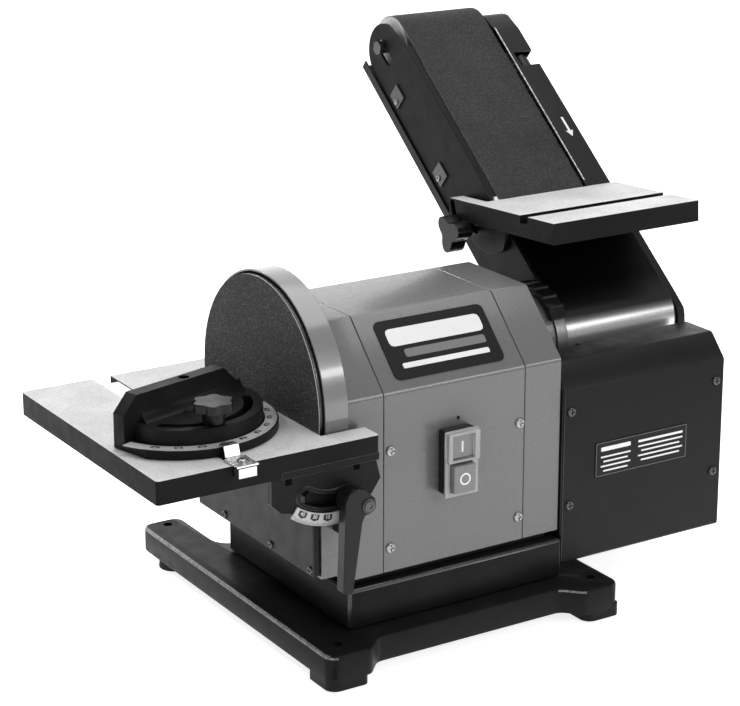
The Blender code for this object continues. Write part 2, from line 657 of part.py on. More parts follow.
# ---------------------------------------------------------------- belt arm, in its own frame

def arm_left_plate():
    """Steel side plate with the tension slot and a lip folded towards the belt."""
    tip = 0.3840
    front = 0.0335
    outline = arc(0.0, 0.0, front, 90, 270, 16)
    outline += arc(tip - 0.0300, 0.0, 0.0300, -90, 60, 12) + [(0.3350, front)]
    slot = arc(0.3450, 0.0, 0.0062, 90, 270, 8) + arc(0.3650, 0.0, 0.0062, -90, 90, 8)
    plate = slab("arm_left_plate", "X", 0.2980, 0.3010, outline, DARK, ARM,
                 holes=[circle(0.0, 0.0, 0.0130), slot])
    join(plate, box("left_lip", (0.2990, 0.1400, 0.0316), (0.3070, 0.3330, 0.0331), parent=ARM))


def arm_right_channel():
    """Right side of the arm: an outer web with a front and a back flange, round about the drum."""
    outer = 0.4410
    end = 0.3460
    outline = arc(0.0, 0.0, 0.0380, 120, 270, 14) + arc(end, 0.0, 0.0340, -90, 60, 10)
    outline += [(end - 0.0060, 0.0335), (0.0, 0.0335)]
    channel = slab("arm_right_channel", "X", 0.4120, outer, outline, DARK, ARM)
    inner = arc(0.0, 0.0, 0.0365, 120, 270, 14) + arc(end, 0.0, 0.0325, -90, 60, 10)
    inner += [(end - 0.0070, 0.0320), (0.0, 0.0320)]
    notch = box("tracking_notch", (0.4180, 0.2920, 0.0120), (0.45, 0.3100, 0.05), parent=ARM)
    guard_space = box("guard_space", (0.40, -0.06, 0.0), (GUARD_RIGHT + 0.0007, 0.1320, 0.05), parent=ARM)
    drum_space = box("drum_space", (0.40, -0.06, -0.0280), (GUARD_RIGHT + 0.0007, -0.0080, 0.01), parent=ARM)
    cut(channel, slab("channel_space", "X", 0.40, outer - SHEET, inner, parent=ARM), notch, guard_space,
        drum_space)


def platen():
    plate = box("platen", (0.3013, 0.0450, 0.0262), (0.4392, 0.3150, 0.0297), STEEL, ARM)
    cut(plate, box("knob_space", (0.4175, 0.2900, 0.0), (0.45, 0.33, 0.05), parent=ARM))


def arm_back_cover():
    """Folded cover under the returning belt."""
    path = [(0.2960, -0.0310), (0.2960, -0.0405), (0.4110, -0.0405), (0.4110, -0.0350)]
    slab("arm_back_cover", "Y", 0.1700, 0.3720, folded(path, -SHEET), DARK, ARM)


def sanding_belt():
    slab("sanding_belt", "X", BELT_LEFT, BELT_LEFT + BELT_WIDTH, stadium(IDLER_T, BELT_OUT), GRIT, ARM,
         holes=[stadium(IDLER_T, BELT_IN)])


def drum_guard():
    """Glossy sheet over the driven end of the belt, from under the table round the drum."""
    radius = 0.0350
    path = [(0.1000, radius)] + arc(0.0, 0.0, radius, 90, 215, 16)
    slab("drum_guard", "X", 0.3015, GUARD_RIGHT, folded(path, -SHEET), GLOSS, ARM)


def arm_collar():
    turned("arm_collar", "X", (0.0, 0.0),
           [(0.0450, 0.2977), (0.0450, 0.2853), (0.0303, 0.2853), (0.0303, 0.2977)], GREY, ARM, 48, True)


def arm_segment():
    """Ribbed black segment on the collar."""
    low, high = -4, 105
    ribs = []
    for angle in range(low, high, 16):
        ribs += arc(0.0, 0.0, 0.0520, angle, angle + 4, 1) + arc(0.0, 0.0, 0.0500, angle + 5, angle + 15, 3)
    outline = ribs + arc(0.0, 0.0, 0.0455, high + 2, low, 24)
    slab("arm_segment", "X", 0.2803, 0.2972, outline, PLASTIC, ARM)


def idler():
    """Idler on its axle, whose hexagon head lies outside the left plate."""
    head = rod("idler_axle", "X", (IDLER_T, 0.0), 0.2925, 0.2975, 0.0074, STEEL, ARM, sides=6)
    join(head, rod("axle_bar", "X", (IDLER_T, 0.0), 0.2964, 0.4360, 0.0060, parent=ARM, sides=20))
    profile = [(DRUM_R, 0.4110), (DRUM_R, 0.3090), (0.0063, 0.3090), (0.0063, 0.4110)]
    turned("idler_drum", "X", (IDLER_T, 0.0), profile, MACHINED, ARM, 40, True)


def tension_spring():
    """Coil that pushes the idler's axle away from the drum."""
    turns, sides, radius = 6, 9, 0.0050
    low, high = 0.3030, IDLER_T - 0.0154
    curve = bpy.data.curves.new("tension_spring", "CURVE")
    curve.dimensions = "3D"
    curve.bevel_depth = 0.0008
    curve.bevel_resolution = 1
    curve.use_fill_caps = True
    spline = curve.splines.new("POLY")
    count = turns * sides
    spline.points.add(count)
    for i, point in enumerate(spline.points):
        angle = 2 * math.pi * i / sides
        t = low + (high - low) * i / count
        point.co = (radius * math.cos(angle), t, radius * math.sin(angle), 1.0)
    spring = bpy.data.objects.new("tension_spring", curve)
    PARTS.objects.link(spring)
    spring.parent = ARM
    spring.location = (0.4260, 0.0, 0.0)
    curve.materials.append(STEEL)


def tracking_knob():
    rod("tracking_knob", "Y", (0.4290, 0.0215), 0.2935, 0.3085, 0.0090, PLASTIC, ARM, sides=20)


# ---------------------------------------------------------------- belt table, in its own frame

def belt_table():
    """Table before the belt: its back edge follows the belt's slope, its left ear holds the lock slot."""
    front, thick = -0.1268, 0.0200
    left, ear, right = 0.2770, 0.2920, 0.4460
    slope = ARM_TILT - TABLE_SLOPE
    under = thick / math.tan(slope)
    outline = [(0.0, 0.0), (front, 0.0), (front, -thick), (-under, -thick)]
    table = slab("belt_table", "X", left, right, outline, MACHINED, BELT_TABLE)
    lobe = slab("ear", "X", left, ear, [(-0.0300, -0.0002), (-0.0300, -thick + 0.0002),
                                         (0.0425, -thick + 0.0002, 0.004), (0.0425, -0.0002, 0.002)],
                parent=BELT_TABLE)
    middle = -0.0805
    join(table, lobe)
    cut(table,
        box("table_slot", (0.2, middle - 0.0060, -0.0075), (0.5, middle + 0.0060, 0.02), parent=BELT_TABLE),
        lock_slot("ear_slot"))


def lock_slot(name):
    """Cutter for the slot about the table's hinge, from the knob's place at rest to the end of the tilt."""
    start = -54.8
    outline = curved_slot(0.0, 0.0, SLOT_R, 0.0036, start - 2, start + 47)
    return slab(name, "X", 0.25, 0.32, outline, parent=BELT_TABLE)


def belt_table_bracket():
    outline = [(0.0420, -0.0010), (0.0012, -0.0010), (-0.0195, -0.0203), (-0.0285, -0.0203),
               (-0.0285, -0.0340)]
    outline += arc(0.0, 0.0, 0.0500, 240, 348, 14)
    plate = slab("belt_table_bracket", "X", 0.2923, 0.2962, outline[::-1], BLACK, BELT_TABLE)
    cut(plate, lock_slot("bracket_slot"))


def belt_table_knob():
    """Three-lobed knob on a stud from the arm, through the table's slot."""
    angle = math.radians(-54.8) + TABLE_SLOPE - ARM_TILT
    t = HINGE_T + SLOT_R * math.cos(angle)
    n = HINGE_N + SLOT_R * math.sin(angle)
    lobes = []
    for i in range(48):
        turn = math.radians(7.5 * i)
        radius = 0.0150 + 0.0045 * math.cos(3 * turn)
        lobes.append((t + radius * math.cos(turn), n + radius * math.sin(turn)))
    knob = slab("belt_table_knob", "X", 0.2600, 0.2767, lobes, PLASTIC, ARM)
    join(knob, rod("table_stud", "X", (t, n), 0.2700, 0.2975, 0.0030, parent=ARM, sides=16))


def build():
    base_casting()
    rubber_feet()
    pedestal()
    motor_mount()
    disc_end_housing()
    lower_disc_guard()
    centre_cover()
    right_housing()
    pivot_tube()
    name_plate()
    motor()
    capacitor()
    cable_gland()
    spindle()
    switch()
    disc_table()
    for name, side in (("front", -1), ("back", 1)):
        table_trunnion("table_trunnion_" + name, side)
        trunnion_support("trunnion_support_" + name, side)
    tilt_scale()
    tilt_pointer()
    table_lock_lever()
    mitre_bar()
    mitre_pointer()
    mitre_head()
    mitre_scale()
    mitre_knob()
    belt_box()
    rating_plate()
    arm_left_plate()
    arm_right_channel()
    platen()
    arm_back_cover()
    sanding_belt()
    drum_guard()
    arm_collar()
    arm_segment()
    idler()
    tension_spring()
    tracking_knob()
    belt_table()
    belt_table_bracket()
    belt_table_knob()


build()
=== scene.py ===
"""Looks of the belt disc sander: materials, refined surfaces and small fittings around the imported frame."""
import json
import math

import bmesh
import bpy
from mathutils import Matrix, Vector


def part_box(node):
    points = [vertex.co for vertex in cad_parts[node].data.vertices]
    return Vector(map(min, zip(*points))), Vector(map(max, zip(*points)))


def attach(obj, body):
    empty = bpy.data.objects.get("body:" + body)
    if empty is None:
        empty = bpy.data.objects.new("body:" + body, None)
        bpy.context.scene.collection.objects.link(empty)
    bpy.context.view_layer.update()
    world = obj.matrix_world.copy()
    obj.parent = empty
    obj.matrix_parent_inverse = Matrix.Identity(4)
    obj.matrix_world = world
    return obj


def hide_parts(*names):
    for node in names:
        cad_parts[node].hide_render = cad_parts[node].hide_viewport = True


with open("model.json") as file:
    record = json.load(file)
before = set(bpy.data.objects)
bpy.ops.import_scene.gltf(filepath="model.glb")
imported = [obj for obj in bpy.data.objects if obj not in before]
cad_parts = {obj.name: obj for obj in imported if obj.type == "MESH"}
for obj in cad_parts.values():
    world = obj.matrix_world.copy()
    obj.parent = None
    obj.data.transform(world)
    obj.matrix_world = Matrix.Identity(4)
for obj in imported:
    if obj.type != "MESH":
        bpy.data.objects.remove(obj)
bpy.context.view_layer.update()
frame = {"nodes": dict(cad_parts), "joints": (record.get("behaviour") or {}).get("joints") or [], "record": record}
NODES = frame["nodes"]
BODY_OF = {node: body for body, nodes in frame["record"]["behaviour"]["bodies"].items() for node in nodes}
SLOT_OF = {part["node"]: part["material_slot"] for part in frame["record"]["subparts"]}
JOINT = {joint["name"]: joint for joint in frame["joints"]}


# ---------------------------------------------------------------- frames, taken from the model

def middle(node):
    low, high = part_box(node)
    return (low + high) / 2


SHAFT = middle("spindle_shaft")
COVER_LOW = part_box("centre_cover")[0]
ORIGIN = Vector((COVER_LOW.x - 0.0603, SHAFT.y, 0.0))     # X = 0 is the rim of the disc guard
BENCH = Matrix.Translation(ORIGIN)
ALONG_ARM = Vector(JOINT["belt_tension"]["axis"])
ARM_TILT = math.atan2(ALONG_ARM.z, ALONG_ARM.y)
ARM = Matrix.Translation((ORIGIN.x, SHAFT.y, SHAFT.z)) @ Matrix.Rotation(ARM_TILT, 4, "X")
HEAD_TURN = math.radians(15)
HEAD = Matrix.Translation(JOINT["mitre_swivel"]["pos_m"]) @ Matrix.Rotation(HEAD_TURN, 4, "Z")
TABLE_SLOPE = math.radians(-3.5)
HINGE = Vector(JOINT["belt_table_tilt"]["pos_m"])
BELT_TABLE = Matrix.Translation((ORIGIN.x, HINGE.y, HINGE.z)) @ Matrix.Rotation(TABLE_SLOPE, 4, "X")
TILT = Vector(JOINT["disc_table_tilt"]["pos_m"])
TABLE_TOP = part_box("disc_table")[1].z
TOP_MARGIN = 0.0005       # faces this near a table's top plane belong to it
INK = 0.00012             # thickness of printed marks

FACE_X_LEFT = Matrix.Rotation(-math.pi / 2, 4, "Y")       # a piece's own +Z looks along -X
FACE_FRONT = Matrix.Rotation(math.pi / 2, 4, "X")         # a piece's own +Z looks along -Y
FACE_BACK = Matrix.Rotation(-math.pi / 2, 4, "X")


def at(x, y, z):
    return BENCH @ Matrix.Translation((x, y, z))


def on_arm(x, t, n):
    return ARM @ Matrix.Translation((x, t, n))


# ---------------------------------------------------------------- materials

def new_material(name, shade, roughness, metallic=0.0):
    mat = bpy.data.materials.new(name)
    mat.use_nodes = True
    nodes = mat.node_tree.nodes
    shader = nodes["Principled BSDF"]
    shader.inputs["Base Color"].default_value = (shade, shade, shade, 1.0)
    shader.inputs["Roughness"].default_value = roughness
    shader.inputs["Metallic"].default_value = metallic
    return mat, nodes, mat.node_tree.links, shader


def add_noise(nodes, links, scale, detail=3.0, stretch=None):
    """A noise in the object's own metres, stretched by a factor on each axis."""
    place = nodes.new("ShaderNodeTexCoord")
    noise = nodes.new("ShaderNodeTexNoise")
    noise.inputs["Scale"].default_value = scale
    noise.inputs["Detail"].default_value = detail
    source = place.outputs["Object"]
    if stretch:
        mapping = nodes.new("ShaderNodeMapping")
        mapping.inputs["Scale"].default_value = stretch
        links.new(source, mapping.inputs["Vector"])
        source = mapping.outputs["Vector"]
    links.new(source, noise.inputs["Vector"])
    return noise.outputs["Fac"]


def add_ramp(nodes, links, source, stops):
    ramp = nodes.new("ShaderNodeValToRGB")
    elements = ramp.color_ramp.elements
    while len(elements) < len(stops):
        elements.new(0.5)
    for element, (place, shade) in zip(elements, stops):
        element.position = place
        element.color = (shade, shade, shade, 1.0)
    links.new(source, ramp.inputs["Fac"])
    return ramp.outputs["Color"]


def add_bump(nodes, links, shader, source, strength, distance):
    bump = nodes.new("ShaderNodeBump")
    bump.inputs["Strength"].default_value = strength
    bump.inputs["Distance"].default_value = distance
    links.new(source, bump.inputs["Height"])
    links.new(bump.outputs["Normal"], shader.inputs["Normal"])


def painted(name, shade, roughness, texture, relief, change=0.12, coat=0.0, wander=0.06, patch=22,
            specular=0.5):
    """Paint or plastic: faint cloudy shade, wandering gloss, and a fine skin."""
    mat, nodes, links, shader = new_material(name, shade, roughness)
    cloud = add_noise(nodes, links, patch, 4.0)
    links.new(add_ramp(nodes, links, cloud, ((0.3, shade * (1 - change)), (0.7, shade * (1 + change)))),
              shader.inputs["Base Color"])
    gloss = add_noise(nodes, links, patch * 3, 3.0)
    links.new(add_ramp(nodes, links, gloss, ((0.3, roughness - wander), (0.7, roughness + wander))),
              shader.inputs["Roughness"])
    add_bump(nodes, links, shader, add_noise(nodes, links, texture, 2.0), relief, 0.0004)
    shader.inputs["Specular IOR Level"].default_value = specular
    shader.inputs["Coat Weight"].default_value = coat
    shader.inputs["Coat Roughness"].default_value = 0.12
    return mat


def milled(name, shade, roughness, stretch, metallic=0.9, mottle=0.12):
    """Bare metal with fine tool lines along one direction and faint mottling."""
    mat, nodes, links, shader = new_material(name, shade, roughness, metallic)
    blotch = add_noise(nodes, links, 38, 6.0)
    links.new(add_ramp(nodes, links, blotch, ((0.35, shade * (1 - mottle)), (0.6, shade))),
              shader.inputs["Base Color"])
    lines = add_noise(nodes, links, 1.0, 2.0, stretch)
    links.new(add_ramp(nodes, links, lines, ((0.25, roughness - 0.08), (0.75, roughness + 0.12))),
              shader.inputs["Roughness"])
    add_bump(nodes, links, shader, lines, 0.10, 0.0002)
    return mat


def ground_top(name, shade):
    """Ground casting: pale, soft sheen, with fine speckle and faint cloudy patches."""
    mat, nodes, links, shader = new_material(name, shade, 0.55, 0.30)
    speck = add_ramp(nodes, links, add_noise(nodes, links, 420, 4.0), ((0.34, shade * 0.80), (0.50, shade)))
    cloud = add_ramp(nodes, links, add_noise(nodes, links, 26, 5.0), ((0.35, 0.86), (0.62, 1.0)))
    mix = nodes.new("ShaderNodeMix")
    mix.data_type = "RGBA"
    mix.blend_type = "MULTIPLY"
    mix.inputs["Factor"].default_value = 1.0
    links.new(speck, mix.inputs["A"])
    links.new(cloud, mix.inputs["B"])
    links.new(mix.outputs["Result"], shader.inputs["Base Color"])
    add_bump(nodes, links, shader, add_noise(nodes, links, 900, 2.0), 0.15, 0.0002)
    return mat


def glossy_guard(name):
    """Dark glossy sheet whose lower bend, round the drum, has a painted reflection: the base colour ramps from
    near black to bright towards the bottom.
    """
    mat, nodes, links, shader = new_material(name, 0.02, 0.27, 0.85)
    place = nodes.new("ShaderNodeTexCoord")
    split = nodes.new("ShaderNodeSeparateXYZ")
    links.new(place.outputs["Object"], split.inputs["Vector"])
    # Height across the lower bend, mapped to 0..1 for the painted reflection.
    painted_reflection_span = nodes.new("ShaderNodeMapRange")
    painted_reflection_span.inputs["From Min"].default_value = SHAFT.z + 0.042
    painted_reflection_span.inputs["From Max"].default_value = SHAFT.z + 0.002
    links.new(split.outputs["Z"], painted_reflection_span.inputs["Value"])
    # Painted reflection: near black higher up, bright round the bottom of the bend.
    links.new(add_ramp(nodes, links, painted_reflection_span.outputs["Result"], ((0.0, 0.008), (0.50, 0.05), (1.0, 0.80))),
              shader.inputs["Base Color"])
    lines = add_noise(nodes, links, 1.0, 2.0, (6, 900, 900))
    add_bump(nodes, links, shader, lines, 0.08, 0.0002)
    return mat


def grit(name, shade, fleck, scale):
    """Abrasive grains: a dark bed with scattered lighter facets and a rough relief."""
    mat, nodes, links, shader = new_material(name, shade, 0.75)
    place = nodes.new("ShaderNodeTexCoord")
    cells = nodes.new("ShaderNodeTexVoronoi")
    cells.inputs["Scale"].default_value = scale
    links.new(place.outputs["Object"], cells.inputs["Vector"])
    tone = nodes.new("ShaderNodeSeparateColor")
    links.new(cells.outputs["Color"], tone.inputs["Color"])
    shades = add_ramp(nodes, links, tone.outputs["Red"],
                      ((0.0, shade * 0.55), (0.62, shade), (0.86, shade * 1.7), (0.97, fleck)))
    cloud = add_ramp(nodes, links, add_noise(nodes, links, 30, 5.0), ((0.3, 0.82), (0.7, 1.15)))
    mix = nodes.new("ShaderNodeMix")
    mix.data_type = "RGBA"
    mix.blend_type = "MULTIPLY"
    mix.inputs["Factor"].default_value = 1.0
    links.new(shades, mix.inputs["A"])
    links.new(cloud, mix.inputs["B"])
    links.new(mix.outputs["Result"], shader.inputs["Base Color"])
    add_bump(nodes, links, shader, cells.outputs["Distance"], 0.6, 0.0004)
    shader.inputs["Specular IOR Level"].default_value = 0.35
    return mat


def clear_plastic(name):
    mat, nodes, links, shader = new_material(name, 0.62, 0.16)
    shader.inputs["Transmission Weight"].default_value = 0.55
    shader.inputs["IOR"].default_value = 1.46
    add_bump(nodes, links, shader, add_noise(nodes, links, 700, 2.0), 0.05, 0.0002)
    return mat


MATERIALS = {
    "black_casting": painted("black enamel over casting", 0.009, 0.40, 650, 0.35, 0.2, specular=0.10),
    "grey_paint": painted("grey enamel", 0.132, 0.27, 900, 0.03, 0.02, 0.20, 0.01),
    "black_sheet": painted("black powder coat", 0.008, 0.42, 1500, 0.30, 0.1, specular=0.17),
    # Guard sheet with a painted reflection on its lower bend.
    "gloss_black": glossy_guard("guard sheet with painted reflection"),
    "black_plastic": painted("moulded black plastic", 0.008, 0.30, 1200, 0.12, 0.1, specular=0.22),
    "machined_aluminium": ground_top("ground aluminium", 0.66),
    "steel": milled("bright steel", 0.72, 0.24, (300, 300, 40), 1.0, 0.08),
    "abrasive": grit("abrasive grit", 0.024, 0.12, 1150),
    "rubber": painted("rubber", 0.014, 0.78, 900, 0.3, specular=0.3),
    "wound_core": milled("laminated core", 0.30, 0.45, (2500, 40, 40), 0.8),
    "light_plate": painted("light plate", 0.46, 0.38, 900, 0.05, 0.04),
    "clear_plastic": clear_plastic("clear plastic"),
    "button_grey": painted("grey key", 0.16, 0.25, 900, 0.05, 0.05, 0.3),
}
BELT_GRIT = grit("belt grit", 0.022, 0.08, 1900)
TABLE_SIDE = painted("black table rim", 0.009, 0.50, 700, 0.35, 0.15, specular=0.07)
MARK_WHITE = painted("white ink", 0.78, 0.45, 900, 0.03, 0.03)
MARK_GREY = painted("grey ink", 0.16, 0.45, 900, 0.03, 0.03)
MARK_DARK = painted("dark ink", 0.012, 0.45, 900, 0.03, 0.03)
PAPER_EDGE = painted("paper edge", 0.42, 0.60, 900, 0.10, 0.05)
DARK_SCREW = painted("blackened steel", 0.030, 0.30, 900, 0.08, 0.2)
BRIGHT_SCREW = milled("zinc plated screw", 0.42, 0.30, (300, 300, 300), 0.9, 0.20)
EDGE_SHEEN = painted("worn enamel edge", 0.012, 0.30, 700, 0.30, 0.1, specular=0.70)
# Painted highlight: a lighter grey for the base's edges that face up and to the left.
RAIL_PAINTED_HIGHLIGHT = painted("rail edge painted highlight", 0.150, 0.34, 420, 0.80, 0.6, patch=260, specular=0.6)
ARM_BLACK = painted("matt black arm", 0.007, 0.46, 1500, 0.30, 0.1, specular=0.09)
DARK_STEEL = milled("oiled steel", 0.10, 0.30, (300, 300, 300), 0.9, 0.15)
RIM_GREY = painted("bright grey rim", 0.200, 0.20, 900, 0.02, 0.02, 0.60, 0.01)
COLLAR_GREY = milled("cast grey collar", 0.20, 0.34, (600, 600, 60), 0.7, 0.12)
# Painted shade: near black, for flat patches that stand in for the dark inside of holes.
HOLE_PAINTED_SHADE = painted("unlit hole", 0.002, 0.90, 900, 0.02, specular=0.05)


# ---------------------------------------------------------------- making pieces

def finish_mesh(name, bm, mat, body, matrix=Matrix(), smooth=32.0, bevel=0.0, segments=2):
    bmesh.ops.remove_doubles(bm, verts=bm.verts, dist=0.000002)
    bmesh.ops.recalc_face_normals(bm, faces=bm.faces)
    mesh = bpy.data.meshes.new(name)
    bm.to_mesh(mesh)
    bm.free()
    mesh.shade_smooth()
    mesh.set_sharp_from_angle(angle=math.radians(smooth))
    mesh.materials.append(mat)
    obj = bpy.data.objects.new(name, mesh)
    bpy.context.scene.collection.objects.link(obj)
    obj.matrix_world = matrix
    if bevel:
        add_bevel(obj, bevel, segments)
    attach(obj, body)
    return obj


def add_bevel(obj, width, segments=2, angle=32.0):
    change = obj.modifiers.new("edge", "BEVEL")
    change.width = width
    change.segments = segments
    change.limit_method = "ANGLE"
    change.angle_limit = math.radians(angle)
    change.harden_normals = True
    return change


def refined(node, bevel=0.0006, segments=2, smooth=32.0, material=None):
    """The CAD node's own surface, welded and with its edges broken as on the real piece."""
    bm = bmesh.new()
    bm.from_mesh(NODES[node].data)
    bmesh.ops.remove_doubles(bm, verts=bm.verts, dist=0.000005)
    bmesh.ops.dissolve_limit(bm, angle_limit=math.radians(0.6), verts=bm.verts, edges=bm.edges)
    mat = material or MATERIALS[SLOT_OF[node]]
    obj = finish_mesh(node + "_surface", bm, mat, BODY_OF[node], smooth=smooth,
                      bevel=bevel, segments=segments)
    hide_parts(node)
    return obj


def extrude(outline, low, high, holes=()):
    """A closed solid from an outline in XY, between two heights."""
    bm = bmesh.new()
    base = [bm.verts.new((u, v, low)) for u, v in outline]
    edges = [bm.edges.new((base[i], base[(i + 1) % len(base)])) for i in range(len(base))]
    for hole in holes:
        loop = [bm.verts.new((u, v, low)) for u, v in hole]
        edges += [bm.edges.new((loop[i], loop[(i + 1) % len(loop)])) for i in range(len(loop))]
    bmesh.ops.triangle_fill(bm, edges=edges, use_beauty=True)
    bmesh.ops.dissolve_limit(bm, angle_limit=0.01, verts=bm.verts, edges=bm.edges)
    grown = bmesh.ops.extrude_face_region(bm, geom=list(bm.faces))
    for item in grown["geom"]:
        if isinstance(item, bmesh.types.BMVert):
            item.co.z = high
    return bm


def lathe(profile, steps=40):
    """A solid turned about Z from (radius, height) points."""
    bm = bmesh.new()
    verts = [bm.verts.new((r, 0.0, h)) for r, h in profile]
    edges = [bm.edges.new((verts[i], verts[i + 1])) for i in range(len(verts) - 1)]
    bmesh.ops.spin(bm, geom=verts + edges, cent=(0, 0, 0), axis=(0, 0, 1), angle=2 * math.pi,
                   steps=steps, use_merge=True)
    bmesh.ops.remove_doubles(bm, verts=bm.verts, dist=0.000002)
    bmesh.ops.dissolve_degenerate(bm, dist=0.000001, edges=bm.edges)
    return bm


def block(low, high):
    bm = bmesh.new()
    low, high = Vector(low), Vector(high)
    size = Matrix.Diagonal(high - low).to_4x4()
    bmesh.ops.create_cube(bm, size=1.0, matrix=Matrix.Translation((low + high) / 2) @ size)
    return bm


def ring_points(u, v, radius, start=0.0, end=360.0, count=32):
    closed = abs(end - start) >= 360
    steps = count if closed else count - 1
    return [(u + radius * math.cos(math.radians(start + (end - start) * i / steps)),
             v + radius * math.sin(math.radians(start + (end - start) * i / steps))) for i in range(count)]


def rounded_box(width, height, radius, count=5):
    points = []
    for sx, sy, start in ((1, 1, 0), (-1, 1, 90), (-1, -1, 180), (1, -1, 270)):
        points += ring_points(sx * (width / 2 - radius), sy * (height / 2 - radius), radius,
                              start, start + 90, count)
    return points


def subtract(bm_a, bm_b):
    """Mesh a less mesh b."""
    objs = []
    for bm in (bm_a, bm_b):
        bmesh.ops.remove_doubles(bm, verts=bm.verts, dist=0.000002)
        bmesh.ops.recalc_face_normals(bm, faces=bm.faces)
        mesh = bpy.data.meshes.new("work")
        bm.to_mesh(mesh)
        bm.free()
        obj = bpy.data.objects.new("work", mesh)
        bpy.context.scene.collection.objects.link(obj)
        objs.append(obj)
    change = objs[0].modifiers.new("cut", "BOOLEAN")
    change.operation = "DIFFERENCE"
    change.object = objs[1]
    change.solver = "EXACT"
    bpy.context.view_layer.update()
    result = bmesh.new()
    result.from_object(objs[0], bpy.context.evaluated_depsgraph_get())
    for obj in objs:
        mesh = obj.data
        bpy.data.objects.remove(obj, do_unlink=True)
        bpy.data.meshes.remove(mesh)
    return result


def merged(*parts):
    """Several bmeshes as one."""
    total = bmesh.new()
    for part in parts:
        mesh = bpy.data.meshes.new("work")
        part.to_mesh(mesh)
        part.free()
        total.from_mesh(mesh)
        bpy.data.meshes.remove(mesh)
    return total


def lettering(name, text, size, mat, body, matrix, depth=0.00015):
    """Numbers and marks of a scale, as thin raised ink."""
    curve = bpy.data.curves.new(name, "FONT")
    curve.body = text
    curve.size = size
    curve.align_x = "CENTER"
    curve.align_y = "CENTER"
    curve.extrude = depth
    curve.resolution_u = 3
    work = bpy.data.objects.new(name, curve)
    bpy.context.scene.collection.objects.link(work)
    bpy.context.view_layer.update()
    mesh = bpy.data.meshes.new_from_object(work.evaluated_get(bpy.context.evaluated_depsgraph_get()))
    bpy.data.objects.remove(work, do_unlink=True)
    bm = bmesh.new()
    bm.from_mesh(mesh)
    bpy.data.meshes.remove(mesh)
    return finish_mesh(name, bm, mat, body, matrix)


# ---------------------------------------------------------------- surfaces of the CAD pieces

PLAIN = ("motor_stator", "left_end_bell", "right_end_bell", "left_bearing", "right_bearing", "capacitor",
         "motor_rotor", "spindle_shaft", "idler_axle", "drive_drum", "idler_drum", "platen", "pivot_tube")
EDGE_WIDTH = {
    "base_casting": 0.0022, "pedestal": 0.0020, "rubber_foot_front_left": 0.0008,
    "disc_end_housing": 0.0009, "centre_cover": 0.0007, "right_housing": 0.0008, "belt_box": 0.0012,
    "lower_disc_guard": 0.0006, "drum_guard": 0.0006, "arm_left_plate": 0.0005, "arm_right_channel": 0.0006,
    "disc_table": 0.0005, "belt_table": 0.0003, "mitre_bar": 0.0003, "mitre_head": 0.0006,
    "table_lock_lever": 0.0012, "belt_table_knob": 0.0005, "mitre_knob": 0.0005, "arm_segment": 0.0004,
    "name_plate": 0.0002, "rating_plate": 0.0001, "abrasive_disc": 0.0002, "sanding_belt": 0.0002,
    "start_button": 0.0006, "stop_button": 0.0006, "switch_frame": 0.0005, "tilt_scale": 0.0003,
    "tilt_pointer": 0.0002, "mitre_pointer": 0.0002, "mitre_scale": 0.0001, "tension_spring": 0.0,
}


def two_tone(obj, other, pick):
    """Faces for which pick(normal, centre) is false take the other material."""
    obj.data.materials.append(other)
    for face in obj.data.polygons:
        face.material_index = 0 if pick(face.normal, face.center) else 1


def lock_lever():
    """Clamp lever: a hub over the stud that flows into a flat handle and a boss for the screw."""
    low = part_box("table_lock_lever")[0]
    turn_axis = Vector(JOINT["table_lock_turn"]["pos_m"]) - ORIGIN
    hub = Vector((turn_axis.x, turn_axis.z))
    front = low.y - ORIGIN.y
    place = BENCH @ FACE_FRONT
    handle = [(0.0055, 0.1806), (-0.0030, 0.1772), (-0.0064, 0.1700), (-0.0066, 0.1600), (-0.0092, 0.0905),
              (-0.0078, 0.0890), (-0.0006, 0.0889), (0.0008, 0.0903), (0.0098, 0.1500), (0.0126, 0.1556),
              (0.0172, 0.1562), (0.0218, 0.1590), (0.0232, 0.1640), (0.0224, 0.1690), (0.0165, 0.1745),
              (0.0120, 0.1790)]
    parts = [extrude(handle, -front - 0.0130, -front - 0.0020)]
    boss = (0.0157, 0.1639, 0.0070, 0.0160, 0.0012)
    hub_disc = (hub.x, hub.y, 0.0112, 0.0190, 0.0032)
    stud = (hub.x, hub.y, 0.0030, 0.0385, 0.0100)
    for u, v, radius, near, far in (boss, hub_disc, stud):
        parts.append(extrude(ring_points(u, v, radius, count=32), -front - near, -front - far))
    obj = finish_mesh("table_lock_lever_surface", merged(*parts), MATERIALS["black_plastic"],
                      BODY_OF["table_lock_lever"], place, bevel=0.0007)
    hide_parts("table_lock_lever")
    return obj


